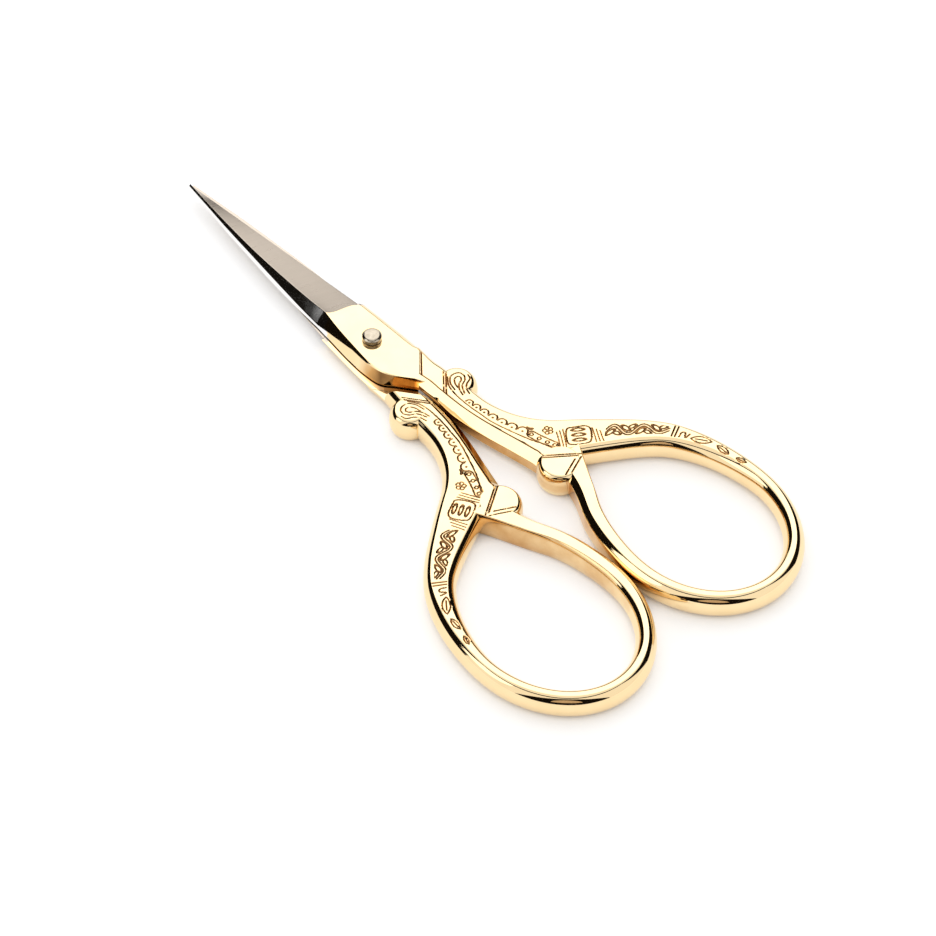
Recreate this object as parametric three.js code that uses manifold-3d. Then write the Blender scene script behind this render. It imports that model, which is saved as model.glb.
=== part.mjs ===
// Ornamental embroidery scissors, closed: two forged halves that cross at one pivot rivet.
// Millimetres. The origin is on the pivot axis, on the plane that the scissors lie on.
// +Y runs to the blade tips, +X is the side of the top half's handle, +Z is up.

import * as THREE from 'three';
import { mergeVertices } from 'three/addons/utils/BufferGeometryUtils.js';
import Module from 'manifold-3d';

const wasm = await Module();
wasm.setup();

// Stock and clearances
const THICKNESS = 4.4;        // of a handle, and of the two blades laid on each other
const LAP_GAP = 0.2;          // air between the two inner faces
const SHOULDER_GAP = 0.3;     // air between one half's heel and the other half's shoulder
const BOW_GAP = 0.3;          // air between the two bows when the scissors are closed
const PIVOT_CLEARANCE = 0.1;  // air round the rivet, and under its head
const LAP_RELIEF = 0.05;      // the neck's underside above the inner face, so that it never rubs
const BLADE_STOCK = (THICKNESS - LAP_GAP) / 2;
const INNER_FACE = THICKNESS - BLADE_STOCK;
const SIDE_LAND = 0.08;       // half the height of the flat left on a fully rounded side
const FULL_DROP = THICKNESS / 2 - SIDE_LAND;

// Blade: it tapers from the heel, where the grinding ends, to the tip
const BLADE = {
  tipY: 42.7,
  heelY: 9.1,
  tip: { edge: -0.05, ridge: -0.15, spine: -0.35, height: 0.5 },
  heel: { edge: 3.75, ridge: -2.4, spine: -3.6, height: BLADE_STOCK },
  ridgeFullness: 0.55,        // under 1 the taper bellies out, 1 is a straight taper
  spineFullness: 0.75,
  edgeLand: 0.15,             // height of the cutting edge's narrow face
  swing: 4,                   // how late the sections swing back to the grinding line
  steps: 12,
};

// Spine: a steep wall below, then a facet up to the ridge. The knee between them is at a share of the height
// and of the way in from the foot.
const SPINE = { blade: { up: 0.45, in: 0.25 }, ricasso: { up: 0.83, in: 0.7 } };

// Ricasso: the flat between the grinding and the neck, with the rivet through it
const RICASSO = {
  frontRight: 4.4,            // widths on the inner face, from the pivot
  right: 4.95,
  left: 4.15,
  waistY: 1.5,
  waistShare: 0.6,            // how much of its growth in width it has at the waist
  cornerY: -4.1,              // where the left side turns towards the neck
  flatLeft: 2.8,              // left edge of the flat top at that corner
  heelCut: 0.6,               // how far in the corner is cut off
  heelShare: 0.6,             // place of the heel's middle section
  cutInset: { x: 0.8, y: 0.45 },
  sideStep: 0.5,              // spacing of the last sections on the right side
  ease: 1.65,                 // how far the right side rolls in on its way up
  roll: 1.4,
  neckInset: 0.33,            // top edge inside the bottom edge along the heel
  neckOverhang: 0.1,          // the neck's right side past the ricasso's
};

// Grinding line across the ricasso: an S from the ridge back to the right edge
const GRIND = { dip: 2.9, pullLeft: [0.7, -1.9], pullRight: [-0.7, 2.0], steps: 10 };

// Neck: it starts on a slanting line across the ricasso, and a lap further on, at the shoulder,
// the blade's half thickness becomes the handle's full thickness
const SHOULDER = { angle: THREE.MathUtils.degToRad(51), distance: 6.95, lap: 2.35, overlap: 0.6 };

// Finger bow: an egg of two half ellipses that share their width
const BOW = {
  halfWidth: 12.2,
  lower: 14.9,
  upper: 20.7,
  centreY: -56.05,
  width: 3.1,
  carvedInset: 3.2,           // how far the carved top reaches in from the egg, half the width elsewhere
  carvedFullness: 1.3,        // how late it widens
  carvedBlend: 1.4,           // how early its section is all carved
  carvedAngle: 62,            // degrees from +X where the shank takes over from the bow
  rootAngle: -225,            // and where the bow comes back up to the boss
  sides: 18,
};
const BOW_CENTRE_X = BOW_GAP / 2 + BOW.width / 2 + BOW.halfWidth;
const BOW_ROLL = 0.45;        // share of the bow's width that each side takes to roll over

// Handle between the neck and the bow, seen from above: the outer and the inner side of each section
const COLLAR = {
  top: { outer: { x: 4.85, inside: 2.05 }, inner: { x: 0.3, inside: 1.2 } },
  foot: { outer: { x: 5.05, inside: 3.5 }, inner: { x: 0.2, inside: 2.6 } },
};
const SHANK = {
  scroll: { outer: { x: 5.4, y: -15.3 }, inner: { x: 0.25, y: -17.85 } },
  waist: { outer: { x: 5.8, y: -19.9 }, inner: { x: 0.7, y: -21.4 } },
  middle: { outer: { x: 6.95, y: -23.4 }, inner: { x: 1.36, y: -24.65 } },
  hip: { outer: { x: 8.6, y: -26.1 }, inner: { x: 2.27, y: -28.4 } },
  fork: { outer: { x: 10.7, y: -28.3 }, inner: { x: 3.1, y: -32.0 } },
};
const SHANK_END = {
  boss: { outer: { x: 13.3, y: -30.3 }, inner: { x: 6.8, y: -34.8 } },
  opening: { outer: { x: 15.9, y: -32.4 }, inner: { x: 10.6, y: -36.7 } },
};
const BOW_ROOT = {
  side: { outer: { x: 4.9, y: -37.6 }, inner: { x: 9.0, y: -37.2 } },
  end: { outer: { x: 6.3, y: -34.6 }, inner: { x: 10.4, y: -34.6 } },
};

// Round ornaments that shape the handle's outline, their flats a little below the handle's flats
const ORNAMENT_SINK = 0.05;
const SCROLL = {
  x: 4.4,
  y: -13.95,
  radius: 3.05,
  rim: { reach: 1.0, drop: FULL_DROP - ORNAMENT_SINK, roll: 1 },
};
const BOSS = { x: 5.75, y: -35.4, radius: 3.45, rim: { reach: 0.65, drop: 1.75, roll: 1 } };

// Pivot rivet: a button head on the top half, a tail peened flush into the bottom half
const RIVET = {
  shank: 2.2,
  headOverhang: 0.35,
  headHeight: 0.95,
  headBevel: 0.28,
  headCrown: 0.08,
  tailFlare: 0.6,
  tailDepth: 0.8,
};

// Handle sections: how each side turns into the flats, roll 1 for an ellipse and 2 for a chamfer
const SECTION = {
  neck: {
    outer: { reach: RICASSO.ease, drop: FULL_DROP, roll: RICASSO.roll },
    inner: { reach: 0.42, drop: 0.5, roll: 2 },
  },
  collar: {
    outer: { reach: 1.6, drop: FULL_DROP, roll: 1.2 },
    inner: { reach: 1.1, drop: 1.25, roll: 2 },
  },
  shank: {
    outer: { reach: 1.2, drop: FULL_DROP, roll: 1 },
    inner: { reach: 1.25, drop: 1.4, roll: 2 },
  },
  carved: {
    outer: { reach: 1.15, drop: FULL_DROP, roll: 1 },
    inner: { reach: 1.0, drop: FULL_DROP, roll: 1 },
  },
  plain: {
    outer: { reach: BOW.width * BOW_ROLL, drop: FULL_DROP, roll: 1 },
    inner: { reach: BOW.width * BOW_ROLL, drop: FULL_DROP, roll: 1 },
  },
};

const CORNER_STEPS = 4;
const STEPS_PER_PAIR = 4;
const TURN_STEPS = 40;
const PAST = 1;               // how far a cut reaches past the faces that it opens

const GOLD = { color: 0xe6c27a, roughness: 0.14, metalness: 1 };
const STEEL = { color: 0xc9c4bc, roughness: 0.25, metalness: 1 };

const { lerp } = THREE.MathUtils;
const v2 = (x, y) => new THREE.Vector2(x, y);
const v3 = (p, z) => new THREE.Vector3(p.x, p.y, z);

// Solids

// A closed body through rings of points, with the first and last ring capped from their middles.
function loft(rings) {
  const count = rings[0].length;
  const points = rings.flat();
  const triangles = [];
  const next = (i) => (i + 1) % count;
  for (let r = 0; r + 1 < rings.length; r += 1) {
    for (let i = 0; i < count; i += 1) {
      const [a, b] = [r * count + i, r * count + next(i)];
      triangles.push([a, b, b + count], [a, b + count, a + count]);
    }
  }
  for (const r of [0, rings.length - 1]) {
    const middle = points.length;
    const sum = rings[r].reduce((total, p) => total.add(p), new THREE.Vector3());
    points.push(sum.divideScalar(count));
    for (let i = 0; i < count; i += 1) {
      const [a, b] = [r * count + i, r * count + next(i)];
      triangles.push(r === 0 ? [b, a, middle] : [a, b, middle]);
    }
  }
  const volume = triangles.reduce((total, [a, b, c]) => {
    const across = new THREE.Vector3().crossVectors(points[b], points[c]);
    return total + points[a].dot(across);
  }, 0);
  const index = triangles.flatMap(([a, b, c]) => (volume > 0 ? [a, b, c] : [a, c, b]));
  return new THREE.BufferGeometry().setFromPoints(points).setIndex(index);
}

// The solid of a closed geometry, with equal points merged and collapsed triangles left out.
function toSolid(geometry) {
  geometry.deleteAttribute('normal');
  geometry.deleteAttribute('uv');
  const merged = mergeVertices(geometry, 1e-5);
  const triVerts = [];
  for (let i = 0; i < merged.index.count; i += 3) {
    const corners = [0, 1, 2].map((k) => merged.index.getX(i + k));
    if (new Set(corners).size === 3) triVerts.push(...corners);
  }
  const mesh = new wasm.Mesh({
    numProp: 3,
    vertProperties: Float32Array.from(merged.attributes.position.array),
    triVerts: Uint32Array.from(triVerts),
  });
  return new wasm.Manifold(mesh);
}

function toGeometry(solid) {
  const mesh = solid.getMesh();
  const geometry = new THREE.BufferGeometry();
  geometry.setAttribute('position', new THREE.BufferAttribute(mesh.vertProperties, 3));
  geometry.setIndex(new THREE.BufferAttribute(mesh.triVerts, 1));
  geometry.computeVertexNormals();
  return geometry;
}

// A round body about a vertical axis from a profile of [radius, height] that starts and ends on the axis.
function turned(profile, x = 0, y = 0) {
  const outline = profile.map(([radius, height]) => v2(radius, height));
  const geometry = new THREE.LatheGeometry(outline, TURN_STEPS);
  return toSolid(geometry.rotateX(Math.PI / 2).translate(x, y, 0));
}

// One corner as [across, height below the flat], from the side wall to the edge of the flat.
function corner({ reach, drop, roll }) {
  return Array.from({ length: CORNER_STEPS + 1 }, (_, i) => {
    const turn = (i / CORNER_STEPS) * (Math.PI / 2);
    const cosine = i === CORNER_STEPS ? 0 : Math.cos(turn);
    return [reach * (1 - cosine ** roll), drop * (1 - Math.sin(turn) ** roll)];
  });
}

// Lines that the two halves share at the neck

const [SIN, COS] = [Math.sin(SHOULDER.angle), Math.cos(SHOULDER.angle)];
const HEEL_DISTANCE = SHOULDER.distance - SHOULDER_GAP;
const onShoulder = (x, inside = 0) => v2(x, (SIN * x - SHOULDER.distance - inside) / COS);
const onHeel = (x) => v2(x, -(HEEL_DISTANCE + SIN * x) / COS);
const neckCorner = (inside = 0) => onHeel((SHOULDER.distance + inside - HEEL_DISTANCE) / (2 * SIN));

// Blade and ricasso

const RIGHT_TOP = RICASSO.frontRight - RICASSO.ease;

// The grinding line from the right edge to the ridge, seen from above.
const grindLine = new THREE.CubicBezierCurve(
  v2(RIGHT_TOP, BLADE.heelY - GRIND.dip),
  v2(RIGHT_TOP + GRIND.pullRight[0], BLADE.heelY - GRIND.dip + GRIND.pullRight[1]),
  v2(BLADE.heel.ridge + GRIND.pullLeft[0], BLADE.heelY + GRIND.pullLeft[1]),
  v2(BLADE.heel.ridge, BLADE.heelY),
).getPoints(GRIND.steps);
const grindShare = grindLine.map((p) => (RIGHT_TOP - p.x) / (RIGHT_TOP - BLADE.heel.ridge));

// The left side of a section: ridge, knee, foot of the wall.
function spineSide(ridge, foot, height, knee) {
  return [
    v3(ridge, INNER_FACE + height),
    v3(foot.clone().lerp(ridge, knee.in), INNER_FACE + height * knee.up),
    v3(foot, INNER_FACE),
  ];
}

// A blade section, 0 at the tip and 1 at the heel, where its right side swings back to the grinding line.
function bladeRing(along) {
  const { tip, heel } = BLADE;
  const y = lerp(BLADE.tipY, BLADE.heelY, along);
  const height = lerp(tip.height, heel.height, along);
  const ridge = v2(lerp(tip.ridge, heel.ridge, along ** BLADE.ridgeFullness), y);
  const foot = v2(lerp(tip.spine, heel.spine, along ** BLADE.spineFullness), y);
  const swing = along ** BLADE.swing;
  const depth = grindLine.map((p) => (p.y - BLADE.heelY) * swing);
  const edgeY = y + depth[0];
  const edgeX = lerp(tip.edge, heel.edge, (BLADE.tipY - edgeY) / (BLADE.tipY - BLADE.heelY));
  const edge = corner({ reach: 0, drop: BLADE.edgeLand, roll: 1 })
    .map(([, below]) => v3(v2(edgeX, edgeY), INNER_FACE + BLADE.edgeLand - below));
  const bevel = grindShare.slice(1, -1).map((share, i) => {
    const point = v2(lerp(edgeX, ridge.x, share), y + depth[i + 1]);
    return v3(point, INNER_FACE + lerp(BLADE.edgeLand, height, share));
  });
  return [...edge, ...bevel, ...spineSide(ridge, foot, height, SPINE.blade)];
}

// A ricasso section between two points on the inner face, flat on top from the rolled right side.
function ricassoRing({ right, left, topLeft, top, knee = SPINE.ricasso }) {
  const inward = left.clone().sub(right).setLength(RICASSO.ease);
  const topRight = top ? top[0] : right.clone().add(inward);
  const side = corner({ reach: 1, drop: BLADE_STOCK, roll: RICASSO.roll })
    .map(([share, below]) => v3(right.clone().lerp(topRight, share), THICKNESS - below));
  const flat = grindShare.slice(1, -1).map((share, i) => {
    return v3(top ? top[i + 1] : topRight.clone().lerp(topLeft, share), THICKNESS);
  });
  return [...side, ...flat, ...spineSide(topLeft, left, BLADE_STOCK, knee)];
}

function bladeAndRicasso() {
  const blade = Array.from({ length: BLADE.steps + 1 }, (_, i) => bladeRing(i / BLADE.steps));
  const { waistY, waistShare, cornerY, left, right, flatLeft, heelCut, neckInset, sideStep } = RICASSO;
  const edgeInset = v2(neckInset * SIN, neckInset * COS);
  const heelSection = (x, rightPoint) => {
    const foot = onHeel(x);
    return { right: rightPoint, left: foot, topLeft: foot.clone().add(edgeInset) };
  };
  const heelStart = onHeel(-left + heelCut);
  const cutInset = v2(RICASSO.cutInset.x, RICASSO.cutInset.y);
  const sections = [
    {
      right: v2(RICASSO.frontRight, BLADE.heelY - GRIND.dip),
      left: v2(BLADE.heel.spine, BLADE.heelY),
      topLeft: v2(BLADE.heel.ridge, BLADE.heelY),
      top: grindLine,
      knee: SPINE.blade,
    },
    {
      right: v2(lerp(RICASSO.frontRight, right, waistShare), waistY),
      left: v2(-left, waistY),
      topLeft: v2(lerp(BLADE.heel.ridge, -flatLeft, waistShare), waistY),
    },
    { right: onShoulder(right, -3 * sideStep), left: v2(-left, cornerY), topLeft: v2(-flatLeft, cornerY) },
    { right: onShoulder(right, -2 * sideStep), left: heelStart, topLeft: heelStart.clone().add(cutInset) },
    heelSection(heelStart.x * RICASSO.heelShare, onShoulder(right, -sideStep)),
    heelSection(neckCorner().x - SHOULDER.overlap, onShoulder(right)),
    heelSection(neckCorner(SHOULDER.overlap).x, onShoulder(right - RICASSO.neckOverhang, SHOULDER.overlap)),
  ];
  return toSolid(loft([...blade, ...sections.map(ricassoRing)]));
}

// Handle: one ribbon from the shoulder down the shank, round the bow and back into the boss

// A place is given by x and y, or by x and how far inside the shoulder's line it lies.
const placed = ({ x, y, inside }) => (inside === undefined ? v2(x, y) : onShoulder(x, inside));
const pairsOf = (places, section) => Object.values(places)
  .map(({ outer, inner }) => ({ outer: placed(outer), inner: placed(inner), section }));

function blendSections(a, b, share) {
  const blendSide = (p, q) => ({
    reach: lerp(p.reach, q.reach, share),
    drop: lerp(p.drop, q.drop, share),
    roll: lerp(p.roll, q.roll, share),
  });
  return { outer: blendSide(a.outer, b.outer), inner: blendSide(a.inner, b.inner) };
}

// The two sides of the bow at an angle in degrees from +X, wider and flat topped where it is carved.
function bowPair(angle) {
  const turn = THREE.MathUtils.degToRad(angle);
  const reachY = Math.sin(turn) < 0 ? BOW.lower : BOW.upper;
  const middle = v2(BOW_CENTRE_X + BOW.halfWidth * Math.cos(turn), BOW.centreY + reachY * Math.sin(turn));
  const outward = v2(Math.cos(turn) / BOW.halfWidth, Math.sin(turn) / reachY).normalize();
  const carved = Math.max(angle, 0) / BOW.carvedAngle;
  const inset = lerp(BOW.width / 2, BOW.carvedInset, carved ** BOW.carvedFullness);
  return {
    outer: middle.clone().addScaledVector(outward, BOW.width / 2),
    inner: middle.clone().addScaledVector(outward, -inset),
    section: blendSections(SECTION.plain, SECTION.carved, Math.min(1, carved * BOW.carvedBlend)),
  };
}

function handleRing({ outer, inner, section }) {
  const across = outer.clone().sub(inner).normalize();
  const side = (start, shape, sign) => corner(shape)
    .map(([reach, below]) => [start.clone().addScaledVector(across, sign * reach), below]);
  const upper = [...side(inner, section.inner, 1), ...side(outer, section.outer, -1).reverse()];
  const top = upper.map(([point, below]) => v3(point, THICKNESS - below));
  const bottom = upper.map(([point, below]) => v3(point, below)).reverse();
  return [...top, ...bottom];
}

function handle() {
  const bow = Array.from({ length: BOW.sides + 1 }, (_, i) => {
    return bowPair(lerp(BOW.carvedAngle, BOW.rootAngle, i / BOW.sides));
  });
  const neckSide = onShoulder(RICASSO.right + RICASSO.neckOverhang);
  const pairs = [
    { outer: neckSide, inner: neckCorner(), section: SECTION.neck },
    ...pairsOf(COLLAR, SECTION.collar),
    ...pairsOf(SHANK, SECTION.shank),
    ...pairsOf(SHANK_END, SECTION.carved),
    ...bow,
    ...pairsOf(BOW_ROOT, SECTION.plain),
  ];
  const rail = (points) => new THREE.CatmullRomCurve3(points.map((p) => v3(p, 0)), false, 'centripetal');
  const outerRail = rail(pairs.map((pair) => pair.outer));
  const innerRail = rail(pairs.map((pair) => pair.inner));
  const steps = (pairs.length - 1) * STEPS_PER_PAIR;
  const rings = Array.from({ length: steps + 1 }, (_, i) => {
    const from = Math.min(Math.floor(i / STEPS_PER_PAIR), pairs.length - 2);
    const share = i / STEPS_PER_PAIR - from;
    return handleRing({
      outer: outerRail.getPoint(i / steps),
      inner: innerRail.getPoint(i / steps),
      section: blendSections(pairs[from].section, pairs[from + 1].section, share),
    });
  });
  return toSolid(loft(rings));
}

// A round ornament with an eased rim on both faces.
function roundOrnament({ x, y, radius, rim }) {
  const [low, high] = [ORNAMENT_SINK, THICKNESS - ORNAMENT_SINK];
  const upper = corner(rim).map(([across, below]) => [radius - across, high - below]);
  const lower = corner(rim).map(([across, below]) => [radius - across, low + below]).reverse();
  return turned([[0, low], ...lower, ...upper, [0, high]], x, y);
}

// The room under the neck for the other half's blade, from the neck's line to the shoulder.
function lapRoom() {
  const [left, right] = [-RICASSO.right, 2 * RICASSO.right];
  const outline = new THREE.Shape([
    onShoulder(left, -SHOULDER.overlap - PAST),
    onShoulder(right, -SHOULDER.overlap - PAST),
    onShoulder(right, SHOULDER.lap),
    onShoulder(left, SHOULDER.lap),
  ]);
  const depth = INNER_FACE + LAP_RELIEF + PAST;
  return toSolid(new THREE.ExtrudeGeometry(outline, { depth, bevelEnabled: false }).translate(0, 0, -PAST));
}

// Pivot

const HOLE_RADIUS = RIVET.shank / 2 + PIVOT_CLEARANCE;
const pivotHole = turned([
  [0, -PAST],
  [HOLE_RADIUS, -PAST],
  [HOLE_RADIUS, THICKNESS + PAST],
  [0, THICKNESS + PAST],
]);
const TAIL_SEAT = RIVET.shank / 2 + RIVET.tailFlare + PIVOT_CLEARANCE;
const tailSeat = turned([
  [0, THICKNESS - RIVET.tailDepth],
  [HOLE_RADIUS, THICKNESS - RIVET.tailDepth],
  [TAIL_SEAT, THICKNESS],
  [TAIL_SEAT, THICKNESS + PAST],
  [0, THICKNESS + PAST],
]);

function rivet() {
  const seat = THICKNESS + PIVOT_CLEARANCE;
  const shoulder = seat + RIVET.headHeight - RIVET.headBevel;
  const top = seat + RIVET.headHeight;
  const shank = RIVET.shank / 2;
  const head = shank + RIVET.headOverhang;
  const tail = shank + RIVET.tailFlare;
  return turned([
    [0, 0],
    [tail, 0],
    [shank, RIVET.tailDepth],
    [shank, seat],
    [head, seat],
    [head, shoulder],
    [head - RIVET.headBevel, top],
    [0, top + RIVET.headCrown],
  ]);
}

// Assembly

function piece(name, solid, finish) {
  const mesh = new THREE.Mesh(toGeometry(solid), new THREE.MeshStandardMaterial(finish));
  mesh.name = name;
  return mesh;
}

const half = handle()
  .add(roundOrnament(SCROLL))
  .add(roundOrnament(BOSS))
  .subtract(lapRoom())
  .add(bladeAndRicasso())
  .subtract(pivotHole);

const topHalf = piece('top_half', half, GOLD);
const bottomHalf = piece('bottom_half', half.subtract(tailSeat), GOLD);
bottomHalf.rotation.y = Math.PI;
bottomHalf.position.z = THICKNESS;
const pivotRivet = piece('pivot_rivet', rivet(), STEEL);

const scissors = new THREE.Group();
scissors.add(topHalf, bottomHalf, pivotRivet);

export default scissors;
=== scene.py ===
# Ornamental embroidery scissors, closed, on a pale table: fine meshes with their carving, the finishes,
# the studio and the camera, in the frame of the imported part.

import math
from collections import namedtuple

import bpy
import numpy as np
from mathutils import Matrix, Vector


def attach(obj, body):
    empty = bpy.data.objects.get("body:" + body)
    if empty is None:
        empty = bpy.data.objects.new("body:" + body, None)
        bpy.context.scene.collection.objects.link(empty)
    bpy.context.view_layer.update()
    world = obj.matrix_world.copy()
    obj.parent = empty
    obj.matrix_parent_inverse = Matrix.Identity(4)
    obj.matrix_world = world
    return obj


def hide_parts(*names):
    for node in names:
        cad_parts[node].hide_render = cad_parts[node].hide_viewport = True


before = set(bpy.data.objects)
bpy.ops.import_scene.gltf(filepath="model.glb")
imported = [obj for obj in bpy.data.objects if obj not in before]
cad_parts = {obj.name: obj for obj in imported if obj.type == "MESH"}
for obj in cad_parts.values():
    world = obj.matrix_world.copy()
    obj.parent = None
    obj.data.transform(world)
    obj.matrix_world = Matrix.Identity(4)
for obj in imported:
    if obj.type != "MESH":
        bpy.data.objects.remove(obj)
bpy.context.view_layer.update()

# Sizes in millimetres, the same as the solids have
MM = 0.001
THICKNESS = 4.4
MID = THICKNESS / 2
LAP_GAP = 0.2
SHOULDER_GAP = 0.3
BOW_GAP = 0.3
PIVOT_CLEARANCE = 0.1
LAP_RELIEF = 0.05
BLADE_STOCK = (THICKNESS - LAP_GAP) / 2
INNER_FACE = THICKNESS - BLADE_STOCK
PAST = 1.0                  # how far a cut reaches past the faces that it opens

# Blade
TIP_Y, HEEL_Y = 42.7, 8.4
TIP_EDGE, HEEL_EDGE = -0.05, 3.83
TIP_HEIGHT = 0.5
EDGE_LAND = 0.15
# Along the spine: y, ridge, foot, and the knee between them as shares of the height and of the way in
SPINE_ROWS = [
    (TIP_Y, -0.15, -0.50, 0.50, 0.35),
    (38.0, -0.67, -1.10, 0.50, 0.35),
    (32.0, -1.27, -1.85, 0.50, 0.33),
    (25.5, -1.75, -2.50, 0.47, 0.30),
    (19.0, -1.96, -3.10, 0.38, 0.27),
    (13.0, -2.00, -3.42, 0.25, 0.15),
    (HEEL_Y, -1.88, -3.55, 0.17, 0.10),
]
HEEL_RIDGE, HEEL_FOOT = SPINE_ROWS[-1][1:3]

# Ricasso, and the grinding line on it, an S from its right side to the blade's ridge
RICASSO_FRONT, RICASSO_RIGHT, RICASSO_LEFT = 4.4, 4.95, 4.12
RICASSO_ROLL = 1.4          # above 1 the right side rolls over flatter than an ellipse
EASE = 1.65                 # how far in it rolls over
HEEL_KNEE = (0.94, 0.7)
HEEL_CUT = 0.57
NECK_INSET = 0.33
GRIND_DIP = 2.2
GRIND_PULL_LEFT = (0.7, -1.4)
GRIND_PULL_RIGHT = (-0.7, 1.5)
GRIND_POWER = 4             # how late the blade's sections take on the line's shape

# Neck line, and the lap past it at which the blade's half thickness becomes the handle's full thickness
SHOULDER_ANGLE = math.radians(51)
SIN, COS = math.sin(SHOULDER_ANGLE), math.cos(SHOULDER_ANGLE)
SHOULDER_DISTANCE = 6.95
SHOULDER_OVERLAP = 0.6
SHOULDER_LAP = 2.35
HEEL_DISTANCE = SHOULDER_DISTANCE - SHOULDER_GAP
NECK_LEAN, NECK_LEAN_END = 0.24, 3.9        # how far the top leans over the line, and where that ends
NECK_STEP = 0.1             # how far the neck stands out there, and how far the ricasso is tucked in

# Finger bow
BOW_HALF, BOW_LOWER, BOW_UPPER = 12.2, 14.9, 20.7
BOW_CENTRE_Y = -56.05
BOW_WIDTH = 3.1
BOW_CENTRE_X = BOW_GAP / 2 + BOW_WIDTH / 2 + BOW_HALF
BOW_SIDES = 18
CARVED_INSET, CARVED_FULLNESS, CARVED_BLEND = 3.7, 1.15, 1.4
CARVED_ANGLE, ROOT_ANGLE = 62.0, -225.0
ROOT_FADE = 110.0           # degrees of the bow over which the root's flat facets come in
ROOT_SINK, ROOT_SINK_LENGTH, ROOT_SINK_FADE = 0.06, 5.0, 3.0

# Round ornaments: radius half way up, reach and drop of the rounded rim, depth under the handle's flat,
# and how dark the painted shade is at the foot of the rim
Ornament = namedtuple("Ornament", "centre radius reach drop sink wall_tone")
SCROLL = Ornament((4.4, -13.95), radius=3.05, reach=1.0, drop=2.1, sink=0.03, wall_tone=0.0)
BOSS = Ornament((5.75, -35.4), radius=3.45, reach=0.8, drop=1.75, sink=0.004, wall_tone=0.3)

# Pivot rivet
RIVET_SHANK, RIVET_HEAD, RIVET_TAIL = 1.1, 1.45, 1.7
RIVET_HEAD_HEIGHT, RIVET_BEVEL, RIVET_CROWN = 0.95, 0.28, 0.08
RIVET_TAIL_DEPTH = 0.8
RIVET_EASE, RIVET_TIGHT_EASE, RIVET_FINE_EASE = 0.04, 0.03, 0.02
CROWN_EDGE = (0.08, 0.01)   # how far inside the bevel the crown starts, and how high
CROWN_MIDDLE = (0.6, 0.75)  # radius, and share of the crown's height there

# Mesh fineness
FOLD = 0.05                 # softening of the crisp folds
HOLD = 3                    # how many times further off a point keeps the flat beside a fold flat
FOLD_LIMIT, HOLD_LIMIT = 0.3, 0.45          # the most of an edge that a softening takes
BLADE_RINGS, RICASSO_STEPS = 60, 12
EDGE_POINTS, BEVEL_COLUMNS = 9, 12
TOP_COLUMNS, SIDE_COLUMNS = 52, 13
ARCH_COLUMNS = SIDE_COLUMNS - 4
FLAT_START = SIDE_COLUMNS - 3
STATION_STEPS = [(0.0, 0.05), (4.4, 0.06), (9.8, 0.1), (56.0, 0.35)]    # start along the handle, spacing
STATION_SAMPLES = 6000
ROOT_LENGTH, ROOT_STEP = 9.0, 0.1
ORNAMENT_SIDES, ORNAMENT_RINGS, ORNAMENT_RIM_RINGS = 160, 34, 16
AXIS = 0.02                 # radius of the innermost ring of a round body
TINY = 1e-9


# Curves and points

def on_shoulder(x, inside=0.0):
    """The point at x on the neck line, or on a line further inside the handle."""
    return (x, (SIN * x - SHOULDER_DISTANCE - inside) / COS)


def on_heel(x):
    """The point at x on the line where the ricasso ends beside the other half's neck."""
    return (x, -(HEEL_DISTANCE + SIN * x) / COS)


def neck_corner(inside=0.0):
    """Where these two lines meet."""
    return on_heel((SHOULDER_DISTANCE + inside - HEEL_DISTANCE) / (2 * SIN))


def lerp(a, b, share):
    return a + (b - a) * share


SMALLEST_GAP = 1e-4


def through(points, u):
    """A centripetal curve through the points, where u counts points."""
    points = np.asarray(points, float)
    k = np.clip(np.floor(u).astype(int), 0, len(points) - 2)
    w = (u - k)[:, None]
    first = 2 * points[0] - points[1]
    last = 2 * points[-1] - points[-2]
    row = np.vstack([first, points, last])
    p0, p1, p2, p3 = row[k], row[k + 1], row[k + 2], row[k + 3]

    def gap(a, b):
        return np.maximum(np.sqrt(np.linalg.norm(a - b, axis=1, keepdims=True)), SMALLEST_GAP)

    d0, d1, d2 = gap(p0, p1), gap(p1, p2), gap(p2, p3)
    t1 = ((p1 - p0) / d0 - (p2 - p0) / (d0 + d1) + (p2 - p1) / d1) * d1
    t2 = ((p2 - p1) / d1 - (p3 - p1) / (d1 + d2) + (p3 - p2) / d2) * d1
    bend = -3 * p1 + 3 * p2 - 2 * t1 - t2
    twist = 2 * p1 - 2 * p2 + t1 + t2
    return p1 + t1 * w + bend * w**2 + twist * w**3


def smooth_line(points, steps=6):
    return through(points, np.linspace(0, len(points) - 1, (len(points) - 1) * steps + 1))


def line_distance(p, points):
    best = np.full(p.shape[:-1], np.inf)
    for a, b in zip(np.asarray(points[:-1], float), np.asarray(points[1:], float)):
        run = b - a
        share = np.clip(((p - a) @ run) / (run @ run), 0, 1)
        best = np.minimum(best, np.linalg.norm(p - a - share[..., None] * run, axis=-1))
    return best


def from_point(p, centre):
    return np.linalg.norm(p - np.asarray(centre), axis=-1)


def own_axes(p, centre, turn):
    """Places as seen from a centre: the way along a direction that is turned from x, and across it."""
    q = p - np.asarray(centre)
    along = q[..., 0] * math.cos(turn) + q[..., 1] * math.sin(turn)
    side = q[..., 1] * math.cos(turn) - q[..., 0] * math.sin(turn)
    return along, side


def leaf(p, centre, length, width, turn=0.0):
    """Distance outside a leaf's outline, below 0 inside it."""
    along, side = own_axes(p, centre, turn)
    return (np.hypot(along / length, side / width) - 1) * width


BUD_RIB = 0.55


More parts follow.
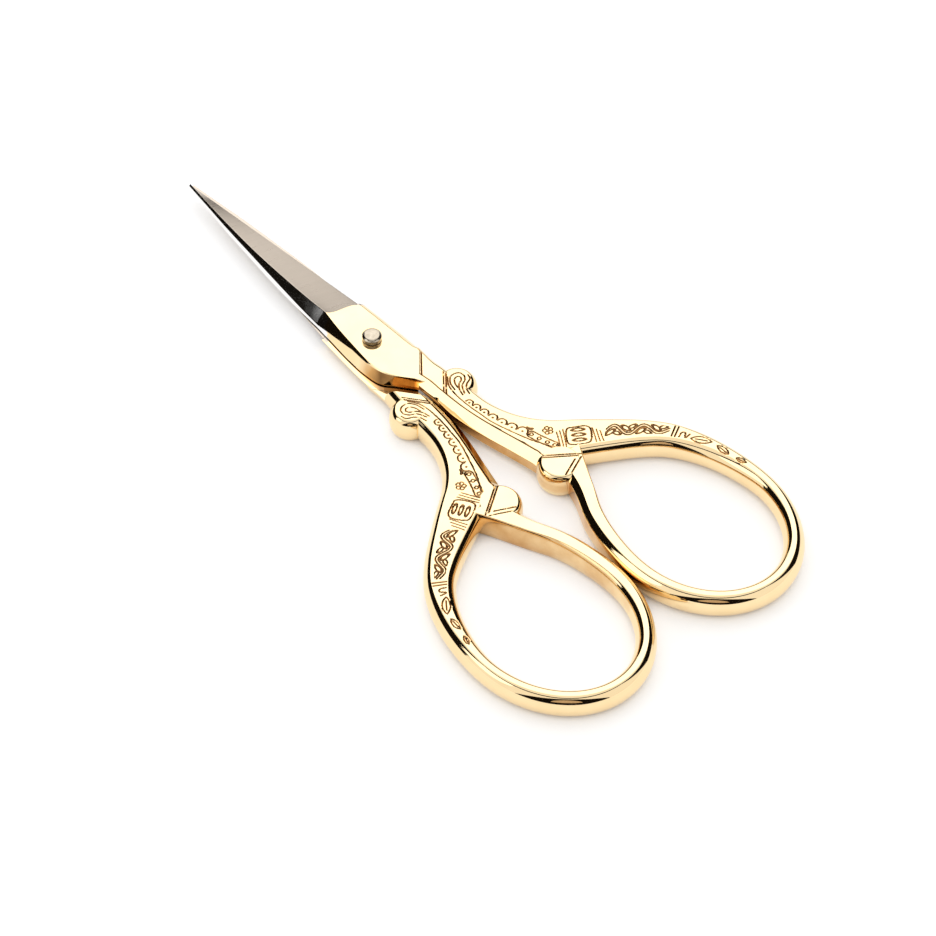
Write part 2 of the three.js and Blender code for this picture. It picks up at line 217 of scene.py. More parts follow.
def bud(p, centre, length, width, turn):
    """Distance from the pointed outline between two arcs, or from the rib in its middle."""
    along, side = own_axes(p, centre, turn)
    side = np.abs(side)
    radius = (length**2 + width**2) / (2 * width)
    outline = np.hypot(along, side + radius - width) - radius
    rib = np.hypot(np.maximum(np.abs(along) - BUD_RIB * length, 0), side)
    return np.minimum(np.abs(outline), rib)


# Carving on the neck, the shank and the boss, placed by x and y
NECK_GROOVES = ((0.0, 0.18), (0.38, 0.12), (3.34, 0.12), (3.71, 0.15))  # past the neck line, half width
GROOVE_DEPTH = 0.15
LINE_HALF, LINE_DEPTH = 0.13, 0.13
FINE_HALF = 0.085
DOT_HALF, DOT_DEPTH = 0.12, 0.1
FOLD_LINE, FOLD_LINE_DEPTH = 0.14, 0.12

BORDER = [
    (3.7, -12.7), (3.1, -13.5), (2.7, -14.3), (2.45, -15.5), (2.4, -17.2), (2.5, -19.2),
    (2.75, -21.2), (3.0, -23.2), (3.45, -24.9), (4.5, -28.0), (5.1, -29.6), (6.8, -32.9),
]
SCROLL_LINES = [
    [(2.9, -15.3), (3.2, -14.0), (4.0, -13.0), (4.8, -12.85), (5.55, -13.25), (5.7, -14.05),
     (5.2, -14.8), (4.25, -15.35), (3.55, -16.7)],
    [(3.5, -15.2), (3.7, -14.4), (4.2, -13.7), (4.8, -13.55), (5.1, -13.9), (4.85, -14.4),
     (4.1, -14.85), (3.45, -15.7), (3.15, -16.8)],
    [(6.25, -14.3), (5.95, -15.05), (4.95, -15.55), (4.3, -16.3), (4.05, -17.2)],
]
BEADS = [
    (2.9, -18.55), (3.1, -19.9), (3.35, -21.35), (3.65, -22.9), (4.05, -24.45), (4.57, -26.05),
    (5.25, -27.6),
]
BEAD_FIRST, BEAD_LAST = 0.56, 0.8
BEAD_SIDE = (0.96, 0.28)    # the side to which the beads are round
BEAD_DOT = 0.23
TRIANGLE = [(6.2, -27.5), (6.4, -28.0), (6.65, -28.15)]
POD = [(5.85, -28.9), (6.2, -30.2), (6.65, -31.5), (7.1, -32.6)]
POD_HALF, PEA = 0.6, 0.27
FLOWER = (8.15, -29.85)
FLOWER_REACH, PETAL, PETALS = 0.45, 0.3, 5
CROSS_LINES = [
    [(8.9, -30.85), (8.2, -32.15), (7.4, -33.5)],
    [(9.4, -30.95), (8.65, -32.3), (7.8, -33.75)],
    [(9.9, -31.05), (9.05, -32.5), (8.15, -34.0)],
    [(13.35, -33.5), (12.6, -35.0), (11.95, -36.2)],
    [(13.6, -34.1), (12.95, -35.4), (12.45, -36.4)],
    [(13.85, -34.7), (13.3, -35.8), (12.95, -36.6)],
]
CARTOUCHE = [
    (10.6, -31.35), (12.9, -32.75), (13.05, -33.4), (11.75, -35.2), (11.15, -35.35), (8.9, -33.95),
    (8.85, -33.35), (10.15, -31.55), (10.6, -31.35),
]
SLOTS = [(11.52, -32.5), (11.0, -33.3), (10.48, -34.1)]
SLOT_LENGTH, SLOT_WIDTH, SLOT_TURN = 0.85, 0.27, math.radians(-33)
BOSS_LINES = [
    [(4.1, -32.75), (8.6, -35.95), (9.3, -36.45)],
    [(3.88, -33.06), (8.38, -36.26)],
    [(7.6, -36.45), (4.2, -38.05)],
    [(8.6, -36.65), (4.6, -38.55)],
]


def cut(distance, half_width, depth):
    return depth * np.clip(1 - (distance / half_width) ** 2, 0, 1)


class Carving:
    """How deep each place of a field is cut, and its tone, 1 where dirt and shade fill a line."""

    def __init__(self, shape):
        self.depth = np.zeros(shape)
        self.tone = np.zeros(shape)

    def engrave(self, distance, half_width=LINE_HALF, depth=LINE_DEPTH):
        np.maximum(self.depth, cut(distance, half_width, depth), out=self.depth)
        np.maximum(self.tone, cut(distance, half_width, 1.0), out=self.tone)


def boss_carving(p):
    field = Carving(p.shape[:-1])
    for line in BOSS_LINES:
        field.engrave(line_distance(p, line))
    return field


def shank_carving(p):
    field = boss_carving(p)
    from_shoulder = SIN * p[..., 0] - COS * p[..., 1] - SHOULDER_DISTANCE
    for groove, half in NECK_GROOVES:
        field.engrave(from_shoulder - groove, half, GROOVE_DEPTH)
    for line in [BORDER, *SCROLL_LINES, CARTOUCHE]:
        field.engrave(line_distance(p, smooth_line(line)))
    for line in CROSS_LINES:
        field.engrave(line_distance(p, smooth_line(line)), FINE_HALF)
    for slot in SLOTS:
        field.engrave(leaf(p, slot, SLOT_LENGTH, SLOT_WIDTH, SLOT_TURN), DOT_HALF)
    for i, bead in enumerate(BEADS):
        size = lerp(BEAD_FIRST, BEAD_LAST, i / (len(BEADS) - 1))
        rounded = (p - np.asarray(bead)) @ np.asarray(BEAD_SIDE) > -DOT_HALF
        field.engrave(np.where(rounded, from_point(p, bead) - size, size))
        field.engrave(from_point(p, bead), BEAD_DOT, DOT_DEPTH)
    field.engrave(line_distance(p, TRIANGLE), 2 * LINE_HALF)
    field.engrave(line_distance(p, smooth_line(POD)) - POD_HALF)
    for pea in POD:
        field.engrave(from_point(p, pea) - PEA, DOT_HALF, DOT_DEPTH)
    for i in range(PETALS):
        turn = i * math.tau / PETALS
        petal = (FLOWER[0] + FLOWER_REACH * math.cos(turn), FLOWER[1] + FLOWER_REACH * math.sin(turn))
        field.engrave(from_point(p, petal) - PETAL, DOT_HALF, DOT_DEPTH)
    return field


# Foliage on the bow, placed by the way along the handle and across it
VINE_START, VINE_END = 32.4, 41.6
VINE_WAVE = 4.4
VINE_SWING = (1.0, 0.55)
VINE_MARGIN = 0.25
STEM_HALF, STEM_POINTS = 0.2, 60
LEAF_PAIRS = 4
# A leaf of each pair: way ahead, way aside, length, width, turn
LEAVES = ((-0.45, 0.3, 0.75, 0.32, 0.7), (0.5, 0.55, 0.6, 0.28, -0.5))
BARS = (42.1, 42.6)
HOOK = [(43.2, -0.75), (43.35, 0.2), (43.75, 0.35), (44.15, -0.6), (44.5, 0.3)]
# A bud: way along, length, width, turn
BUDS = ((46.4, 1.5, 0.6, 0.25), (50.0, 1.1, 0.45, -0.2), (53.2, 0.8, 0.34, 0.15))


def foliage(along, across, half_width):
    p = np.stack(np.broadcast_arrays(along, across), axis=-1)
    field = Carving(p.shape[:-1])
    stem_at = np.linspace(VINE_START, VINE_END, STEM_POINTS)
    swing = np.interp(stem_at, (VINE_START, VINE_END), VINE_SWING)
    stem = np.stack([stem_at, swing * np.sin((stem_at - VINE_START) * math.tau / VINE_WAVE)], axis=-1)
    outline = line_distance(p, stem) - STEM_HALF
    for i in range(LEAF_PAIRS):
        at = VINE_START + (0.5 + i) * VINE_WAVE / 2
        side = -1 if i % 2 else 1
        for ahead, aside, length, width, turn in LEAVES:
            centre = (at + ahead, -side * aside)
            outline = np.minimum(outline, leaf(p, centre, length, width, side * turn))
    margin = np.minimum(half_width - VINE_MARGIN - np.abs(p[..., 1]), VINE_END - p[..., 0])
    margin = np.minimum(margin, p[..., 0] - VINE_START)
    field.engrave(np.where(margin > 0, outline, np.inf))
    for bar in BARS:
        field.engrave(p[..., 0] - bar)
    field.engrave(line_distance(p, smooth_line(HOOK)))
    for at, length, width, turn in BUDS:
        field.engrave(bud(p, (at, 0), length, width, turn))
    return field


# Handle: one ribbon from the neck down the shank, round the bow and back into the boss
# A section has a chamfer or arch on its inner side and an arch or facet on its outer side, or is oval
Section = namedtuple("Section", "reach_in drop_in arch_in reach_out facet_out oval")
NECK = Section(0.92, 1.0, 0.0, EASE, 0.0, 0.0)
COLLAR = Section(1.07, 1.17, 0.0, 1.6, 0.0, 0.0)
SHANK = Section(1.25, 1.38, 0.0, 1.2, 0.0, 0.0)
CARVED = Section(1.35, 1.4, 1.0, 1.15, 0.0, 0.0)
ROOT = Section(0.45, 0.5, 1.0, 0.9, 1.0, 0.0)
FACET_DROP = 0.85
ARCH_FOLD = math.radians(82)                # angle at which an arch meets the flat
OVAL_REACH = 0.45           # share of the width
OVAL_POWER = 1.15           # above 1 the shoulders are flatter than an ellipse's
LEAST_SQUARE = 0.5          # limit of how much a chamfer widens where its rail runs askew
# Rows of the outer side, the inner side and the section
SHANK_ROWS = [
    (on_shoulder(RICASSO_RIGHT + NECK_STEP), neck_corner(), NECK),
    (on_shoulder(4.85, 2.05), on_shoulder(0.21, 1.2), COLLAR),
    (on_shoulder(5.05, 3.5), on_shoulder(0.21, 2.6), COLLAR),
    ((5.4, -15.3), (0.25, -17.85), SHANK),
    ((5.8, -19.9), (0.7, -21.4), SHANK),
    ((6.95, -23.4), (1.36, -24.65), SHANK),
    ((8.6, -26.1), (2.27, -28.4), SHANK),
    ((10.7, -28.3), (3.1, -32.0), SHANK),
    ((12.0, -29.3), (3.5, -33.7), SHANK),
    ((13.3, -30.3), (6.8, -34.8), CARVED),
    ((15.9, -32.4), (10.6, -36.7), CARVED),
]
ROOT_ROWS = [((4.9, -37.6), (9.0, -37.2), ROOT), ((6.3, -34.6), (10.4, -34.6), ROOT)]


def bow_row(angle):
    turn = math.radians(angle)
    reach_y = BOW_LOWER if math.sin(turn) < 0 else BOW_UPPER
    centre = np.array([BOW_CENTRE_X, BOW_CENTRE_Y])
    middle = centre + np.array([BOW_HALF * math.cos(turn), reach_y * math.sin(turn)])
    outward = np.array([math.cos(turn) / BOW_HALF, math.sin(turn) / reach_y])
    outward /= np.linalg.norm(outward)
    carved = max(angle, 0) / CARVED_ANGLE
    inset = lerp(BOW_WIDTH / 2, CARVED_INSET, carved**CARVED_FULLNESS)
    root = max(0.0, 1 - (angle - ROOT_ANGLE) / ROOT_FADE)
    shape = Section(*[a * (1 - root) + b * root for a, b in zip(CARVED, ROOT)])
    shape = shape._replace(oval=(1 - min(1, carved * CARVED_BLEND)) * (1 - root))
    return tuple(middle + outward * BOW_WIDTH / 2), tuple(middle - outward * inset), shape


def corner_points(before, corner, after):
    """Three points that soften a corner."""
    middle = [0.25 * a + 0.5 * b + 0.25 * c for a, b, c in zip(before, corner, after)]
    return [before, middle, after]


def chamfered_side(reach, drop):
    """From half way up a wall, up its chamfer, to the flat: way across, depth under the flat."""
    length = np.hypot(reach, drop)
    step_x, step_d = FOLD * reach / length, FOLD * drop / length
    none = np.zeros_like(reach)
    foot = corner_points((none, drop + FOLD), (none, drop), (step_x, drop - step_d))
    fold = corner_points((reach - step_x, step_d), (reach, none), (reach + FOLD, none))
    points = [
        (none, none + MID),
        (none, (drop + MID) / 2),
        (none, drop + HOLD * FOLD),
        *foot,
        (HOLD * step_x, drop - HOLD * step_d),
        (reach / 2, drop / 2),
        (reach - HOLD * step_x, HOLD * step_d),
        *fold,
        (reach + HOLD * FOLD, none),
    ]
    return np.stack([np.stack(p, axis=-1) for p in points], axis=1)


def arc(angle):
    """Shares of the way across and of the depth at an angle of an arc that ends at a crisp fold."""
    across = (1 - math.cos(angle)) / (1 - math.cos(ARCH_FOLD))
    depth = 1 - math.sin(angle) / math.sin(ARCH_FOLD)
    return across, depth


def arched_side(reach):
    """The same as chamfered_side for a side that is one arc."""
    none = np.zeros_like(reach)

    def at(angle):
        across, depth = arc(angle)
        return (reach * across, none + MID * depth)

    points = [at(angle) for angle in np.linspace(0, ARCH_FOLD - 2 * FOLD, ARCH_COLUMNS)]
    points += corner_points(at(ARCH_FOLD - FOLD), (reach, none), (reach + FOLD, none))
    points.append((reach + HOLD * FOLD, none))
    return np.stack([np.stack(p, axis=-1) for p in points], axis=1)


def oval_side(width):
    """The same for a side that rolls over without a flat."""
    turn = np.linspace(0, math.pi / 2, SIDE_COLUMNS)
    across = width[:, None] * OVAL_REACH * (1 - np.cos(turn) ** OVAL_POWER)
    depth = MID * (1 - np.sin(turn) ** OVAL_POWER)
    return np.stack(np.broadcast_arrays(across, depth), axis=-1)


def stations(outer, inner):
    """Places along the handle, as counts of rows and as millimetres, closer where it is carved."""
    u = np.linspace(0, len(outer) - 1, STATION_SAMPLES)
    middle = (through(outer, u) + through(inner, u)) / 2
    run = np.concatenate([[0], np.cumsum(np.linalg.norm(np.diff(middle, axis=0), axis=1))])
    steps = [*STATION_STEPS, (run[-1] - ROOT_LENGTH, ROOT_STEP)]
    stops = [start for start, _ in steps[1:]] + [run[-1]]
    places = []
    for (start, step), stop in zip(steps, stops):
        places.append(np.linspace(start, stop, max(2, math.ceil((stop - start) / step)), endpoint=False))
    along = np.concatenate([*places, [run[-1]]])
    return np.interp(along, run, u), along


def squareness(line, across):
    """How square the sections stand on a rail."""
    run = np.gradient(line, axis=0)
    run /= np.linalg.norm(run, axis=1, keepdims=True)
    return np.abs(run[:, 0] * across[:, 1] - run[:, 1] * across[:, 0])


def upper_outlines(shape, width):
    """The upper half of each section: way from the inner side, depth under the flat."""
    by_arch, by_facet, by_oval = (v[:, None, None] for v in (shape.arch_in, shape.facet_out, shape.oval))
    oval = oval_side(width)
    left = lerp(chamfered_side(shape.reach_in, shape.drop_in), arched_side(shape.reach_in), by_arch)
    left = lerp(left, oval, by_oval)
    facet = chamfered_side(shape.reach_out, np.full_like(width, FACET_DROP))
    right = lerp(arched_side(shape.reach_out), facet, by_facet)
    right = lerp(right, oval, by_oval)[:, ::-1].copy()
    right[..., 0] = width[:, None] - right[..., 0]
    step = np.linspace(0, 1, TOP_COLUMNS + 2)[1:-1][None, :, None]
    top = lerp(left[:, -1:], right[:, :1], step)
    return np.concatenate([left, top, right], axis=1)


CARVED_LENGTH, SHANK_LENGTH = 57.0, 25.0
WALL_COLUMNS = 4
# Painted shade on the inner wall, on it at the neck, on the root's walls, in the lap and on the heel
WALL_SHADE, NECK_WALL_SHADE, ROOT_WALL_SHADE, LAP_SHADE = 0.45, 0.6, 0.4, 0.77
ABSENT = 0.01               # a share below this counts as none


def handle_carving(section, place, along, shape):
    """Carving on the handle's flat, and painted shade on its walls."""
    field = Carving(section.shape[:2])
    flat = slice(FLAT_START, -FLAT_START)
    flat_left, flat_right = section[:, FLAT_START, 0], section[:, -SIDE_COLUMNS, 0]

    def add(rows, part):
        field.depth[rows, flat] = np.maximum(field.depth[rows, flat], part.depth)
        field.tone[rows, flat] = np.maximum(field.tone[rows, flat], part.tone)

    carved = along < CARVED_LENGTH
    add(carved, shank_carving(place[carved, flat]))
    rooted = along > along[-1] - ROOT_LENGTH
    add(rooted, boss_carving(place[rooted, flat]))
    on_bow = carved & (along > VINE_START)
    offset = section[..., 0] - ((flat_left + flat_right) / 2)[:, None]
    half_width = ((flat_right - flat_left) / 2)[:, None]
    add(on_bow, foliage(along[on_bow, None], offset[on_bow, flat], half_width[on_bow]))
    crisp = (shape.arch_in < 0.5) & (shape.oval < ABSENT) & (shape.facet_out < ABSENT)
    from_fold = section[crisp, flat, 0] - flat_left[crisp, None]
    fold = Carving(from_fold.shape)
    fold.engrave(from_fold - FOLD_LINE, FOLD_LINE, FOLD_LINE_DEPTH)
    add(crisp, fold)

    # Painted shade on the walls: the inner wall darker towards the neck, and both sides of the root
    between = np.clip(1 - along / SHANK_LENGTH, 0, 1)
    inner_wall_shade = lerp(WALL_SHADE, NECK_WALL_SHADE, between) * (along < SHANK_LENGTH)
    field.tone[:, :ARCH_COLUMNS] = (ROOT_WALL_SHADE * shape.facet_out)[:, None]
    field.tone[:, :WALL_COLUMNS] += inner_wall_shade[:, None]
    field.tone[:, -WALL_COLUMNS:] = (WALL_SHADE * shape.facet_out)[:, None]
    return field


def pushed_in(section, depth):
    """The outlines with each point moved into the metal, square to the surface."""
    slope = np.gradient(section, axis=1)
    square = np.stack([-slope[..., 1], slope[..., 0]], axis=-1)
    square /= np.maximum(np.linalg.norm(square, axis=-1, keepdims=True), TINY)
    return section + square * depth[..., None]


def ribbon():
    """Rings of points of the handle, and the tone of each point."""
    bow = [bow_row(a) for a in np.linspace(CARVED_ANGLE, ROOT_ANGLE, BOW_SIDES + 1)]
    outer, inner, shapes = (np.array(column) for column in zip(*SHANK_ROWS, *bow, *ROOT_ROWS))
    u, along = stations(outer, inner)
    inner_line = through(inner, u)
    span = through(outer, u) - inner_line
    width = np.linalg.norm(span, axis=1)
    across = span / width[:, None]
    shape = Section(*[np.interp(u, np.arange(len(shapes)), column) for column in shapes.T])
    widened = shape.reach_in / np.maximum(squareness(inner_line, across), LEAST_SQUARE)
    shape = shape._replace(reach_in=widened)

    def placed(outlines):
        return inner_line[:, None, :] + across[:, None, :] * outlines[..., :1]

    section = upper_outlines(shape, width)
    field = handle_carving(section, placed(section), along, shape)
    section = pushed_in(section, field.depth)
    place = placed(section)
    sink = ROOT_SINK * np.clip((along - (along[-1] - ROOT_SINK_LENGTH)) / ROOT_SINK_FADE, 0, 1)
    height = MID - section[..., 1] - sink[:, None]
    lean = NECK_LEAN * np.clip(1 - along / NECK_LEAN_END, 0, 1)[:, None]
    shift = np.stack([-SIN * lean, COS * lean], axis=-1)
    upper = np.concatenate([place + shift, (MID + height)[..., None]], axis=-1)
    lower = np.concatenate([place, (MID - height)[..., None]], axis=-1)
    upper[:, (0, -1), :2] = lower[:, (0, -1), :2]
    rings = np.concatenate([upper, lower[:, -2:0:-1]], axis=1)
    return rings, np.concatenate([field.tone, field.tone[:, -2:0:-1]], axis=1)


# Blade and ricasso

def inside_heel(place):
    """The edge of the ricasso's flat beside a point of the heel."""
    return (place[0] + NECK_INSET * SIN, place[1] + NECK_INSET * COS)


RICASSO_SINK = 0.3          # how far the last section drops into the neck
HEEL_START = on_heel(-RICASSO_LEFT + HEEL_CUT)
HEEL_MIDDLE = on_heel(HEEL_START[0] * 0.6)
HEEL_END = on_heel(neck_corner()[0] - 0.6)
TUCKED_LEFT = neck_corner(SHOULDER_OVERLAP)
TUCKED_RIGHT = on_shoulder(RICASSO_RIGHT - NECK_STEP, SHOULDER_OVERLAP)
# Along the ricasso: right side, left side, left edge of the flat, and the knee between those two
RICASSO_ROWS = [
    ((RICASSO_FRONT, HEEL_Y - GRIND_DIP), (HEEL_FOOT, HEEL_Y), (HEEL_RIDGE, HEEL_Y), SPINE_ROWS[-1][3:]),
    ((4.62, 3.2), (-3.82, 4.8), (-2.45, 4.8), (0.443, 0.333)),
    ((4.8125, 0.2), (-RICASSO_LEFT, 0.6), (-2.89, 0.6), (0.748, 0.675)),
    (on_shoulder(RICASSO_RIGHT, -1.5), (-RICASSO_LEFT, -3.0), (-3.16, -3.0), (0.843, 0.74)),
    (on_shoulder(RICASSO_RIGHT, -1.0), HEEL_START, (-2.93, -5.5), (0.905, 0.8)),
    (on_shoulder(RICASSO_RIGHT, -0.5), HEEL_MIDDLE, inside_heel(HEEL_MIDDLE), HEEL_KNEE),
    (on_shoulder(RICASSO_RIGHT, -NECK_LEAN), HEEL_END, inside_heel(HEEL_END), HEEL_KNEE),
    (TUCKED_RIGHT, TUCKED_LEFT, inside_heel(TUCKED_LEFT), HEEL_KNEE),
]


def grind_line(count):
    """Points along the grinding line, from the ricasso's right side to the blade's ridge."""
    right = np.array([RICASSO_FRONT - EASE, HEEL_Y - GRIND_DIP])
    left = np.array([HEEL_RIDGE, HEEL_Y])
    pull_right = right + GRIND_PULL_RIGHT
    pull_left = left + GRIND_PULL_LEFT
    t = np.linspace(0, 1, count)[:, None]
    return (
        right * (1 - t)**3
        + 3 * pull_right * t * (1 - t)**2
        + 3 * pull_left * t**2 * (1 - t)
        + left * t**3
    )


def spine_points(ridge, foot, height, knee):
    up, inward = knee
    return [
        (*ridge, INNER_FACE + height),
        (*lerp(foot, ridge, inward), INNER_FACE + height * up),
        (*foot, INNER_FACE),
    ]


def blade_rings(line, share):
    """Outlines of the blade's sections, from the cutting edge over the top to the foot of the spine."""
    rows = np.array(SPINE_ROWS)
    rings = []
    for y, ridge_x, foot_x, *knee in smooth_line(rows, BLADE_RINGS // (len(rows) - 1)):
        along = (TIP_Y - y) / (TIP_Y - HEEL_Y)
        height = lerp(TIP_HEIGHT, BLADE_STOCK, along)
        depth = (line[:, 1] - HEEL_Y) * along**GRIND_POWER
        edge_y = y + depth[0]
        edge_x = lerp(TIP_EDGE, HEEL_EDGE, (TIP_Y - edge_y) / (TIP_Y - HEEL_Y))
        side = [(edge_x, edge_y, INNER_FACE + EDGE_LAND * s) for s in np.linspace(0, 1, EDGE_POINTS)]
        bevel = [
            (lerp(edge_x, ridge_x, s), y + d, INNER_FACE + lerp(EDGE_LAND, height, s))
            for s, d in zip(share[1:-1], depth[1:-1])
        ]
        ridge, foot = np.array([ridge_x, y]), np.array([foot_x, y])
        rings.append(side + bevel + spine_points(ridge, foot, height, knee))
    return rings


def ricasso_rings(line, share):
    """The same for the ricasso, from the grinding line into the neck."""
    rights, lefts, edges, knees = zip(*RICASSO_ROWS)
    last = len(RICASSO_ROWS) - 1
    u = np.concatenate([np.linspace(0, last - 1, (last - 1) * RICASSO_STEPS + 1), [last]])
    rails = [through(rail, u) for rail in (rights, lefts, edges)]
    knees = [np.interp(u, np.arange(last + 1), column) for column in zip(*knees)]
    rings = []
    for at, right, left, edge, *knee in zip(u, *rails, *knees):
        flat_right = right + (left - right) / np.linalg.norm(left - right) * EASE
        sunk = RICASSO_SINK if at > last - 1 else 0.0
        side = []
        for angle in np.linspace(0, math.pi / 2, EDGE_POINTS):
            across = 1 - math.cos(angle) ** RICASSO_ROLL
            drop = BLADE_STOCK * (1 - math.sin(angle) ** RICASSO_ROLL)
            side.append((*lerp(right, flat_right, across), max(THICKNESS - drop - sunk, INNER_FACE)))
        flat = []
        for s, on_line in zip(share[1:-1], line[1:-1]):
            straight = lerp(flat_right, edge, s)
            flat.append((*lerp(on_line, straight, min(at, 1.0)), THICKNESS - sunk))
        rings.append(side + flat + spine_points(edge, left, BLADE_STOCK - sunk, knee))
    return rings


def soften(rings, radius, steps=2):
    """Rings with every corner rounded, and a point near each rounding that keeps the flats flat."""
    before = np.roll(rings, 1, axis=1) - rings
    after = np.roll(rings, -1, axis=1) - rings

    def toward(run, distance, limit):
        length = np.maximum(np.linalg.norm(run, axis=-1, keepdims=True), TINY)
        return rings + run / length * np.minimum(distance, limit * length)

    first = toward(before, radius, FOLD_LIMIT)
    last = toward(after, radius, FOLD_LIMIT)
    points = [toward(before, HOLD * radius, HOLD_LIMIT)]
    for t in np.linspace(0, 1, steps + 1):
        points.append(first * (1 - t)**2 + 2 * rings * t * (1 - t) + last * t**2)
    points.append(toward(after, HOLD * radius, HOLD_LIMIT))
    return np.stack(points, axis=2).reshape(len(rings), -1, 3)


# Meshes
TONE = "line_and_painted_shade_tone"          # name of the points' tone, which the gold's finish reads: dirt and shade in lines, painted shade on walls


def loft(rings):
    """Points and faces of a closed body through rings, with the ends capped from their middles."""
    rings = np.asarray(rings, float)
    count, size = rings.shape[:2]
    points = rings.reshape(-1, 3)
    r = np.arange(count - 1)[:, None] * size
    i = np.arange(size)[None, :]
    j = (i + 1) % size
    quads = np.stack([r + i, r + j, r + size + j, r + size + i], axis=-1).reshape(-1, 4)
    middles = np.stack([rings[0].mean(0), rings[-1].mean(0)])
    first, last = len(points), len(points) + 1
    base = (count - 1) * size
    caps = [(b, a, first) for a, b in zip(i[0], j[0])]
    caps += [(base + a, base + b, last) for a, b in zip(i[0], j[0])]
    points = np.vstack([points, middles])
    faces = quads.tolist() + caps
    corners = points[quads]
    volume = np.einsum("ij,ij->i", corners[:, 0], np.cross(corners[:, 1], corners[:, 2]))
    volume += np.einsum("ij,ij->i", corners[:, 0], np.cross(corners[:, 2], corners[:, 3]))
    if volume.sum() < 0:
        faces = [tuple(reversed(f)) for f in faces]
    return points, faces


def turned(profile, steps=96):
    """A round body about the pivot from a profile of radius and height."""
    turn = np.arange(steps) * math.tau / steps
    rings = []
    for radius, height in profile:
        ring = [radius * np.cos(turn), radius * np.sin(turn), np.full(steps, height)]
        rings.append(np.stack(ring, axis=-1))
    return loft(rings)


def add_object(name, data):
    piece = bpy.data.objects.new(name, data)
    bpy.context.scene.collection.objects.link(piece)
    return piece


def make_object(name, points, faces, tone=None):
    mesh = bpy.data.meshes.new(name)
    mesh.from_pydata(np.asarray(points).tolist(), [], faces)
    mesh.update()
    if tone is not None:
        values = np.zeros(len(mesh.vertices))
        values[:tone.size] = tone.ravel()
        mesh.attributes.new(TONE, "FLOAT", "POINT").data.foreach_set("value", values)
    return add_object(name, mesh)


def combined(base, tools):
    """The mesh of base with each tool joined to it or taken away, and the tools removed."""
    for operation, tool in tools:
        step = base.modifiers.new(operation, "BOOLEAN")
        step.operation = operation
        step.object = tool
        step.solver = "MANIFOLD"
    graph = bpy.context.evaluated_depsgraph_get()
    mesh = bpy.data.meshes.new_from_object(base.evaluated_get(graph))
    for piece in [base, *[tool for _, tool in tools]]:
        bpy.data.objects.remove(piece)
    return mesh


def ornament_body(sizes, carving):
    """Points, faces and tones of a round ornament."""
    turn = np.linspace(0, math.tau, ORNAMENT_SIDES, endpoint=False)
    circle = np.stack([np.cos(turn), np.sin(turn)], axis=-1)
    flat = sizes.radius - sizes.reach
    profile = [(radius, 0.0) for radius in np.linspace(AXIS, flat - FOLD, ORNAMENT_RINGS)]
    for angle in np.linspace(ARCH_FOLD, 0, ORNAMENT_RIM_RINGS):
        across, depth = arc(angle)
        profile.append((sizes.radius - sizes.reach * across, sizes.drop * depth))
    upper, lower, tones = [], [], []
    for radius, depth in profile:
        ring = np.asarray(sizes.centre) + radius * circle
        field = carving(ring)
        cover = 1.0 if depth == 0.0 else 0.0
        below = sizes.sink + depth + cover * field.depth
        upper.append(np.column_stack([ring, THICKNESS - below]))
        lower.append(np.column_stack([ring, below]))
        # Painted shade on the rim, darker towards its foot
        tones.append(cover * field.tone + sizes.wall_tone * depth / sizes.drop)
    return *loft(upper + lower[::-1]), np.array(tones + tones[::-1])


def lap_room():
    """Points, faces and painted shade of the room under the neck for the other half's blade."""
    left, right = -RICASSO_RIGHT, 2 * RICASSO_RIGHT
    start = -SHOULDER_OVERLAP - PAST
    outline = [
        on_shoulder(left, start),
        on_shoulder(right, start),
        on_shoulder(right, SHOULDER_LAP),
        on_shoulder(left, SHOULDER_LAP),
    ]
    points, faces = loft([[(*p, z) for p in outline] for z in (-PAST, INNER_FACE + LAP_RELIEF)])
    return points, faces, np.full(len(points), LAP_SHADE)


# Painted shade on the heel's wall: its last rings, over how many it grows, and its points on each ring
HEEL_RINGS, HEEL_FADE, HEEL_WALL_POINTS = 46, 20, 8


def front_body():
    """Points, faces and tones of the blade and the ricasso."""
    line = grind_line(BEVEL_COLUMNS)
    share = (line[0, 0] - line[:, 0]) / (line[0, 0] - line[-1, 0])
    rings = soften(np.array(blade_rings(line, share) + ricasso_rings(line, share)), FOLD)
    tone = np.zeros(rings.shape[:2])
    # Painted shade on the heel's wall, growing towards the neck
    heel_shade = LAP_SHADE * np.clip(np.arange(HEEL_RINGS) / HEEL_FADE, 0, 1)
    tone[-HEEL_RINGS:, -HEEL_WALL_POINTS:] = heel_shade[:, None]
    return *loft(rings), tone


def half_mesh(with_tail_seat):
    rings, tone = ribbon()
    handle = make_object("handle", *loft(rings), tone)
    front = make_object("front", *front_body())
    boss = make_object("boss", *ornament_body(BOSS, boss_carving))
    scroll = make_object("scroll", *ornament_body(SCROLL, shank_carving))
    room = make_object("room", *lap_room())
    hole_radius = RIVET_SHANK + PIVOT_CLEARANCE
    top = THICKNESS + PAST
    hole = make_object("hole", *turned([(hole_radius, -PAST), (hole_radius, top)]))
    tools = [
        ("UNION", scroll),
        ("DIFFERENCE", room),
        ("UNION", front),
        ("UNION", boss),
        ("DIFFERENCE", hole),
    ]
    if with_tail_seat:
        seat_radius = RIVET_TAIL + PIVOT_CLEARANCE
        floor = THICKNESS - RIVET_TAIL_DEPTH
        seat = turned([(hole_radius, floor), (seat_radius, THICKNESS), (seat_radius, top)])
        tools.append(("DIFFERENCE", make_object("seat", *seat)))
    return combined(handle, tools)


SPINE_FACING = -0.35        # faces of the blade that look further left than this are its spine
STEEL_LINE_FALL = 3.0       # how far down the spine's side the bare steel reaches past the ridge
STEEL_LINE_POINTS = 60
ON_FACE, ON_LINE = 0.01, 0.005              # how near counts as on the inner face, and as on the line


